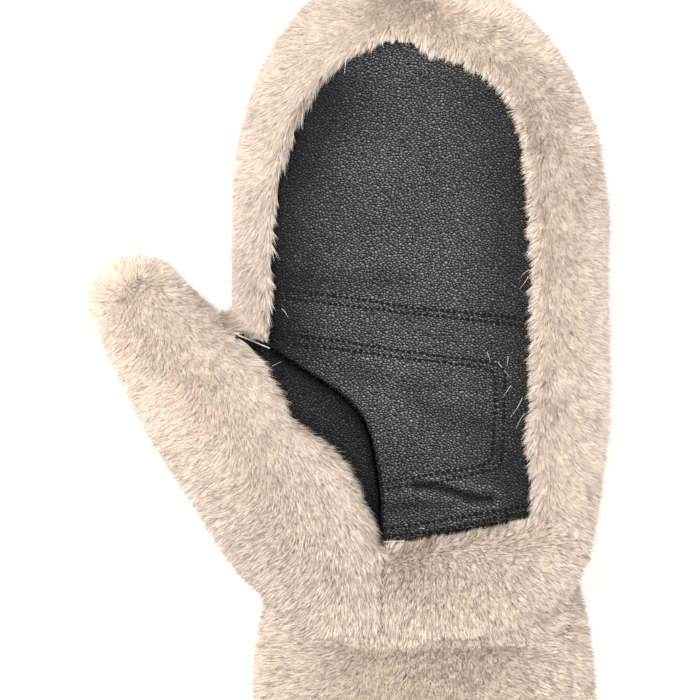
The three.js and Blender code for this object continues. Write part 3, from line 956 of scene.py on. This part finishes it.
def leather_mesh(name, form, edges, folds, rows, shaded_edges, settings):
    """The panel with its relief, and the painted shade on its grain at each point."""
    grid = leather_grid(form, settings.pitch / MM)
    smoothed(grid, settings.smoothing, flat=True)
    places = np.array([vertex.co[:2] for vertex in grid.verts]) / MM
    relief = leather_relief(places, edges, folds)
    added = relief + leather_waves(places, 0.35, 0.12) + stitch_grooves(places, rows, settings.groove / MM)
    for vertex, height in zip(grid.verts, added):
        vertex.co.z += height * MM
    bmesh.ops.recalc_face_normals(grid, faces=grid.faces)
    grid.normal_update()
    if sum(face.normal.z for face in grid.faces) < 0:
        bmesh.ops.reverse_faces(grid, faces=grid.faces)
    mesh = bpy.data.meshes.new(name)
    grid.to_mesh(mesh)
    grid.free()
    swell = mesh.attributes.new("swell", "FLOAT", "POINT")
    swell.data.foreach_set("value", painted_leather_shading(places, relief, shaded_edges).astype(np.float32))
    smooth_shaded(mesh)
    return mesh


def leather_piece(mesh, node, settings, darkness):
    """Gives a leather panel its thickness and finish."""
    piece = piece_from(mesh.name, mesh, "leather", leather_finish(settings, f"{mesh.name}_grain", darkness))
    wall = piece.modifiers.new("thickness", "SOLIDIFY")
    wall.thickness = settings.thickness
    wall.offset = -1
    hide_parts(node)


def on_surface(tree, places):
    """Points and normals of the top surface over each place in plan."""
    points, normals = [], []
    down, above_all = Vector((0, 0, -1)), 0.2
    for x, y in places:
        hit = tree.ray_cast(Vector((x * MM, y * MM, above_all)), down)
        points.append(np.array(hit[0]) / MM if hit[0] is not None else [x, y, np.nan])
        normals.append(np.array(hit[1]) if hit[0] is not None else [0, 0, 1])
    return np.array(points), np.array(normals)


def evenly_along(line, pitch):
    """Places at an even pitch along a line, and the way that it runs there."""
    fine = spline(line, 16)
    lengths = np.concatenate([[0], np.cumsum(np.linalg.norm(np.diff(fine, axis=0), axis=1))])
    stops = np.arange(pitch / 2, lengths[-1], pitch)
    places = np.column_stack([np.interp(stops, lengths, fine[:, axis]) for axis in (0, 1)])
    a_little = 0.1
    ahead = np.column_stack([np.interp(stops + a_little, lengths, fine[:, axis]) for axis in (0, 1)])
    return places, unit(ahead - places)


def a_number(name, description, default, **details):
    return bpy.props.FloatProperty(name=name, description=description, default=default, **details)


def a_length(name, description, default):
    return a_number(name, description, default, unit="LENGTH")


def a_share(name, description, default):
    return a_number(name, description, default, min=0, max=1)


def a_count(name, description, default):
    return bpy.props.IntProperty(name=name, description=description, default=default, min=0)


def a_colour(name, description, default):
    return bpy.props.FloatVectorProperty(
        name=name, description=description, default=default, subtype="COLOR", min=0, max=1)


class PileSettings(bpy.types.PropertyGroup):
    run: a_length("Run", "How far a strand that lies flat reaches along the skin", 0.0045)
    rise: a_length("Rise", "Height of a flat strand's tip over the skin", 0.0021)
    width: a_length("Strand width", "Width of a strand at its root", 0.00026)
    depth: a_length("Skin depth", "How far the skin lies below the pile's outer form", 0.0024)
    floor_clearance: a_length("Floor clearance", "Least height of the skin over the table", 0.0008)
    palm_density: a_number("Palm density", "Strands on a square millimetre of the palm's side", 19.0)
    back_density: a_number("Back density", "Strands on a square millimetre of the back", 4.5)
    most_strands: a_count("Most strands", "Most strands in one piece", 190000)
    fine_lock: a_length("Fine lock", "Size of the smallest locks", 0.0013)
    broad_lock: a_length("Broad lock", "Size of the broad locks", 0.0045)
    clump: a_share("Clump", "How far tips draw together in a lock", 0.28)
    overhang: a_length("Overhang", "How far the longest tips reach in over the leather", 0.0029)
    least_lie: a_share("Least lie", "How flat the pile lies where it stands most upright", 0.5)
    hair_width: a_length("Stray hair width", "Width of a stray hair at its root", 0.00013)
    dark_share: a_share("Dark share", "Share of the strands that are taupe, not cream", 0.3)
    dive: a_length("Dive", "How far the skin ducks under the leather where they cross", 0.002)
    joint_fill: a_length("Joint fill", "How far the skins of joined panels reach into the seam", 0.0003)
    joint_reach: a_length("Joint reach", "Panels closer than this are joined without a groove", 0.004)
    comb_blend: a_number("Comb blend", "Millimetres over which one comb guide fades into the next", 5.0)
    voxel: a_length("Skin mesh", "Size of the skin's faces", 0.0024)
    smoothing: a_count("Skin smoothing", "Rounds of smoothing on the skin", 8)
    root_colour: a_colour("Root colour", "Strands at the backing", (0.66, 0.56, 0.47))
    middle_colour: a_colour("Middle colour", "Strands at half their length", (0.77, 0.665, 0.57))
    tip_colour: a_colour("Tip colour", "Strands at their tips", (0.85, 0.745, 0.65))


class LeatherSettings(bpy.types.PropertyGroup):
    colour: a_colour("Colour", "Tops of the grains", (0.225, 0.225, 0.227))
    gloss: a_share("Gloss", "Strength of the shine", 0.11)
    grain_size: a_length("Grain", "Width of a grain", 0.00088)
    grain_depth: a_length("Grain depth", "Depth of the creases between grains", 0.00035)
    fold_radius: a_length("Fold", "Half the thickness of a folded edge", 0.00022)
    thickness: a_length("Thickness", "Thickness of the leather", 0.0016)
    pitch: a_length("Mesh pitch", "Size of the panel's faces", 0.001)
    groove: a_length("Groove", "Depth that a stitch row sinks", 0.0002)
    tuck: a_length("Tuck", "How far the leather reaches in under the pile", 0.0032)
    smoothing: a_count("Smoothing", "Rounds of smoothing on the height", 14)


class StitchSettings(bpy.types.PropertyGroup):
    pitch: a_length("Pitch", "From one stitch to the next", 0.002)
    length: a_length("Length", "Length of a stitch that shows", 0.00135)
    width: a_length("Width", "Width of the thread", 0.00105)


class StageSettings(bpy.types.PropertyGroup):
    floor_colour: a_colour("Floor", "Colour of the floor", (0.93, 0.93, 0.93))
    camera_height: a_length("Camera height", "Height of the camera", 3.0)
    view_width: a_length("View width", "Width of what the camera sees", 0.2333)
    key_power: a_number("Key light", "Power of the main soft light", 26, unit="POWER")
    sky: a_number("Sky", "Strength of the light from all round", 0.62)


class Step:
    """What every operator here shares."""

    bl_options = {"REGISTER", "UNDO"}


class PileOperator(Step):
    """What the pile panels share."""

    def execute(self, context):
        settings = context.scene.mitten_pile
        strand_finish = finish_named("cream_pile", pile_finish, settings)
        base_finish = finish_named("pile_base", pile_base_finish, settings)
        knit = finish_named("knit_backing", backing_finish)
        for node in self.nodes:
            skin = Skin(node, settings)
            name = PILE_PANELS[node][0]
            backing = piece_from(f"{name}_skin", skin.mesh, "pile", base_finish, knit)
            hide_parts(node)
            seed = 100 * sorted(PILE_PANELS).index(node)
            for index, (side, faces) in enumerate(self.sides(node, skin).items()):
                if not len(faces):
                    continue
                wanted = (skin.areas * skin.weight)[faces].sum()
                count = int(min(wanted, settings.most_strands))
                made = strands(skin, PILE_PANELS[node], faces, count, seed + index, settings)
                mesh = strand_mesh(f"{name}_{side}", *made)
                piece_from(mesh.name, mesh, "pile", strand_finish)
        return {"FINISHED"}

    @staticmethod
    def sides(node, skin):
        """The faces of each piece that a panel's strands are made in."""
        middle = skin.places[skin.corners].mean(1)
        upper = (middle[:, 1] > PIECE_SPLIT) | (node != "back_fur")
        palm = skin.rise > -0.05
        sides = {"palm_side_upper": palm & upper, "palm_side_lower": palm & ~upper, "back_side": ~palm}
        return {side: np.flatnonzero(chosen & skin.outer) for side, chosen in sides.items()}


class MITTEN_OT_back_pile(PileOperator, bpy.types.Operator):
    """Make the pile of the hand's back, which wraps round as a rim to the palm"""

    bl_idname = "mitten.back_pile"
    bl_label = "Back pile"
    nodes = ("back_fur",)


class MITTEN_OT_thumb_pile(PileOperator, bpy.types.Operator):
    """Make the pile of the thumb and of the ball of the thumb"""

    bl_idname = "mitten.thumb_pile"
    bl_label = "Thumb pile"
    nodes = ("thumb_fur",)


class MITTEN_OT_wrist_pile(PileOperator, bpy.types.Operator):
    """Make the pile of the heel of the hand and of the cuff"""

    bl_idname = "mitten.wrist_pile"
    bl_label = "Heel and cuff pile"
    nodes = ("heel_fur", "cuff_fur")


class LeatherOperator(Step):
    """What the leather panels share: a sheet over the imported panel, tucked in under the pile."""

    def execute(self, context):
        settings = context.scene.mitten_leather
        form = LeatherForm(self.node, self.tucked, self.shown, settings.tuck / MM)
        mesh = leather_mesh(self.piece, form, self.edges, self.folds, self.rows, self.shaded_edges, settings)
        leather_piece(mesh, self.node, settings, self.darkness)
        return {"FINISHED"}


class MITTEN_OT_palm_leather(LeatherOperator, bpy.types.Operator):
    """Make the leather palm, its edge tucked under the pile, with a folded hem"""

    bl_idname = "mitten.palm_leather"
    bl_label = "Palm leather"
    piece, node, darkness = "palm_panel", "palm_leather", 1.0
    tucked, shown = PALM_RIM, (PALM_HEM, PALM_SEAM)
    edges = ((PALM_SEAM, 1.6, 2.6), (PALM_HEM, 1.3, 1.5))
    folds, rows = LEATHER_FOLDS, tuple(STITCH_ROWS.values())
    # Edges where the grain is painted in shade: a line, how far in the shade reaches in millimetres, and how
    # light the grain is at the edge
    shaded_edges = ((PALM_RIM[:6], 30, 0.15), (PALM_RIM[11:], 24, 0.38), (PALM_HEM, 60, 0.72),
            (PALM_SEAM, 1.5, 0.2))


class MITTEN_OT_thumb_leather(LeatherOperator, bpy.types.Operator):
    """Make the leather strip on the inner side of the thumb"""

    bl_idname = "mitten.thumb_leather"
    bl_label = "Thumb leather"
    # The strip is a darker copy of the palm's leather: painted shade, as the strip turns away from the light
    piece, node, darkness = "thumb_strip", "thumb_leather", 0.36
    tucked, shown = THUMB_EDGE[::-1], (WEB_EDGE[::-1], PALM_SEAM[::-1])
    edges = ((PALM_SEAM, 2.2, 3.4), (WEB_EDGE, -2.2, 6))
    folds, rows = (), ()
    # Edges where the grain is painted in shade, as on the palm
    shaded_edges = ((PALM_SEAM, 5, 0.15), (THUMB_EDGE, 5, 0.5), (WEB_EDGE, 4, 0.4))


class MITTEN_OT_stitches(Step, bpy.types.Operator):
    """Sew the double rows of black stitches on the palm"""

    bl_idname = "mitten.stitches"
    bl_label = "Palm stitches"
    raised = 0.22  # a stitch's middle over the leather, in millimetres
    flatness = 0.9

    def execute(self, context):
        settings = context.scene.mitten_stitches
        tree = tree_of(bpy.data.objects["palm_panel"].data)
        one = bmesh.new()
        bmesh.ops.create_uvsphere(one, u_segments=6, v_segments=5, radius=0.5)
        corners = np.array([vertex.co for vertex in one.verts])[:, [2, 0, 1]]
        faces = [[vertex.index for vertex in face.verts] for face in one.faces]
        one.free()
        size = np.array([settings.length, settings.width, settings.width * self.flatness]) / MM
        stitch = corners * size
        points, polygons = [], []
        for line in STITCH_ROWS.values():
            places, ways = evenly_along(line, settings.pitch / MM)
            for top, normal, way in zip(*on_surface(tree, places), ways):
                if np.isnan(top[2]):
                    continue
                along = unit(np.array([*way, 0]) - normal * np.dot(normal[:2], way))
                turned = stitch @ np.array([along, np.cross(normal, along), normal])
                polygons.extend([len(points) + corner for corner in face] for face in faces)
                points.extend(top + normal * self.raised + turned)
        mesh = mesh_from("palm_stitches", points, polygons)
        smooth_shaded(mesh)
        piece_from(mesh.name, mesh, "leather", finish_named("black_thread", thread_finish))
        return {"FINISHED"}


class MITTEN_OT_stray_hairs(Step, bpy.types.Operator):
    """Lay a few strands that the pile has shed onto the leather"""

    bl_idname = "mitten.stray_hairs"
    bl_label = "Stray hairs"
    stops = 7  # places along a hair
    raised = 0.45  # millimetres over the leather

    def execute(self, context):
        settings = context.scene.mitten_pile
        stops = self.stops
        trees = [tree_of(bpy.data.objects[name].data) for name in ("palm_panel", "thumb_strip")]
        draw = np.random.default_rng(7)
        points, polygons = [], []
        for x, y, heading, length in STRAY_HAIRS:
            turn = math.radians(heading) + np.linspace(0, draw.normal(0, 0.5), stops)
            step = length / (stops - 1) * np.column_stack([np.cos(turn), np.sin(turn)])
            line = np.array([x, y]) + np.vstack([np.zeros(2), np.cumsum(step[1:], axis=0)])
            heights = [on_surface(tree, line)[0][:, 2] for tree in trees]
            height = np.nanmax([*heights, np.full(stops, np.nanmin(heights))], axis=0)
            across = np.column_stack([-np.sin(turn), np.cos(turn)])
            half = across * (settings.hair_width / MM / 2) * np.linspace(1, 0.3, stops)[:, None]
            base = len(points)
            for edge in (line - half, line + half):
                points.extend(np.column_stack([edge, height + self.raised]))
            for corner in range(base, base + stops - 1):
                polygons.append([corner, corner + 1, corner + 1 + stops, corner + stops])
        mesh = mesh_from("stray_hairs", points, polygons)
        along = np.tile(np.linspace(0.4, 0.7, stops), 2 * len(STRAY_HAIRS))
        column = np.repeat(np.tile([0.72, 0.76], len(STRAY_HAIRS)), stops)
        corners = np.concatenate(polygons)
        layer = mesh.uv_layers.new(name="OFBake")
        layer.data.foreach_set("uv", np.column_stack([column, along])[corners].astype(np.float32).ravel())
        piece_from(mesh.name, mesh, "pile", finish_named("cream_pile", pile_finish, settings))
        return {"FINISHED"}


def tube(name, middles, across, radius, sides=8):
    """A closed tube through places in millimetres, with the way across it at each in plan."""
    points, polygons = [], []
    for middle, out in zip(middles, across):
        for angle in np.linspace(0, 2 * math.pi, sides, endpoint=False):
            flat = middle[:2] + out * math.cos(angle) * radius
            points.append([*flat, middle[2] + math.sin(angle) * radius])
    for ring in range(0, len(points) - sides, sides):
        for corner in range(sides):
            after = (corner + 1) % sides
            polygons.append([ring + corner, ring + after, ring + sides + after, ring + sides + corner])
    polygons.append(list(range(sides)))
    polygons.append([len(points) - 1 - corner for corner in range(sides)])
    mesh = mesh_from(name, points, polygons)
    form = bmesh.new()
    form.from_mesh(mesh)
    bmesh.ops.recalc_face_normals(form, faces=form.faces)
    form.to_mesh(mesh)
    form.free()
    smooth_shaded(mesh)
    return mesh


class MITTEN_OT_folded_edges(Step, bpy.types.Operator):
    """Lay pale tubes along the folded edges of the leather at the web of the thumb and at the hem's end: a
    painted highlight
    """

    bl_idname = "mitten.folded_edges"
    bl_label = "Folded edges"
    pitch, inset = 0.8, 0.7  # millimetres along a fold, and in from it to where the panel's height is read
    # Each fold's piece, its panel, its line in plan and how far it is lifted in millimetres
    edges = (("web_fold", "thumb_strip", WEB_EDGE[::-1], 1.3), ("hem_fold", "palm_panel", PALM_HEM[-2:], 0.7))

    def execute(self, context):
        radius = context.scene.mitten_leather.fold_radius / MM
        for name, panel, line, lift in self.edges:
            tree = tree_of(bpy.data.objects[panel].data)
            places, ways = evenly_along(line, self.pitch)
            inward = np.column_stack([ways[:, 1], -ways[:, 0]])
            heights = on_surface(tree, places + inward * self.inset)[0][:, 2]
            found = np.flatnonzero(~np.isnan(heights))
            if len(found) < len(places) / 2:
                raise RuntimeError(f"{name} lies off {panel}")
            heights = np.interp(np.arange(len(places)), found, heights[found])
            mesh = tube(name, np.column_stack([places, heights + lift]), inward, radius)
            piece_from(name, mesh, "leather", finish_named("folded_edge", fold_highlight_finish))
        return {"FINISHED"}


class MITTEN_OT_stage(Step, bpy.types.Operator):
    """Set the pale floor, the soft light and the camera that looks straight down"""

    bl_idname = "mitten.stage"
    bl_label = "Stage"
    view_middle = Vector((0.00033, 0.007, 0.025))
    # Each lamp's place and size in metres, and its power as a share of the main one's
    lamps = (("key", (-0.55, 0.45, 1.3), 0.9, 1.0), ("fill", (0.9, -0.4, 1.1), 1.0, 0.35))

    def execute(self, context):
        scene, settings = context.scene, context.scene.mitten_stage
        scene.view_settings.view_transform = "Standard"
        plane = bmesh.new()
        bmesh.ops.create_grid(plane, x_segments=1, y_segments=1, size=4)
        mesh = bpy.data.meshes.new("floor")
        plane.to_mesh(mesh)
        plane.free()
        mesh.materials.append(floor_finish(settings))
        placed("floor", mesh)
        middle = self.view_middle
        lens = bpy.data.cameras.new("camera")
        lens.sensor_width = 36
        lens.lens = lens.sensor_width * (settings.camera_height - middle.z) / settings.view_width
        lens.clip_end = 20
        scene.camera = placed("camera", lens)
        scene.camera.location = (middle.x, middle.y, settings.camera_height)
        for name, place, size, share in self.lamps:
            light = bpy.data.lights.new(name, "AREA")
            light.size = size
            light.energy = settings.key_power * share
            lamp = placed(name, light)
            lamp.location = place
            lamp.rotation_euler = (middle - Vector(place)).to_track_quat("-Z", "Y").to_euler()
        world = bpy.data.worlds.new("studio")
        world.use_nodes = True
        background = world.node_tree.nodes["Background"].inputs
        background["Color"].default_value = (1, 1, 1, 1)
        background["Strength"].default_value = settings.sky
        scene.world = world
        return {"FINISHED"}


class MITTEN_PT_panel(bpy.types.Panel):
    """Shows the mitten's operators and their settings"""

    bl_idname = "MITTEN_PT_panel"
    bl_label = "Mitten"
    bl_space_type = "VIEW_3D"
    bl_region_type = "UI"
    bl_category = "Mitten"

    def draw(self, context):
        for operator in OPERATORS:
            self.layout.operator(operator.bl_idname)
        for group in SETTINGS:
            box = self.layout.box()
            for name in group.__annotations__:
                box.prop(getattr(context.scene, SETTINGS[group]), name)


OPERATORS = (
    MITTEN_OT_stage,
    MITTEN_OT_back_pile,
    MITTEN_OT_thumb_pile,
    MITTEN_OT_wrist_pile,
    MITTEN_OT_palm_leather,
    MITTEN_OT_thumb_leather,
    MITTEN_OT_stitches,
    MITTEN_OT_stray_hairs,
    MITTEN_OT_folded_edges,
)
SETTINGS = {
    PileSettings: "mitten_pile",
    LeatherSettings: "mitten_leather",
    StitchSettings: "mitten_stitches",
    StageSettings: "mitten_stage",
}


def register():
    for item in (*SETTINGS, *OPERATORS, MITTEN_PT_panel):
        bpy.utils.register_class(item)
    for group, name in SETTINGS.items():
        setattr(bpy.types.Scene, name, bpy.props.PointerProperty(type=group))


def unregister():
    for name in SETTINGS.values():
        delattr(bpy.types.Scene, name)
    for item in (MITTEN_PT_panel, *reversed(OPERATORS), *SETTINGS):
        bpy.utils.unregister_class(item)


def main():
    register()
    for operator in OPERATORS:
        group, name = operator.bl_idname.split(".")
        getattr(getattr(bpy.ops, group), name)()


if __name__ == "__main__":
    main()
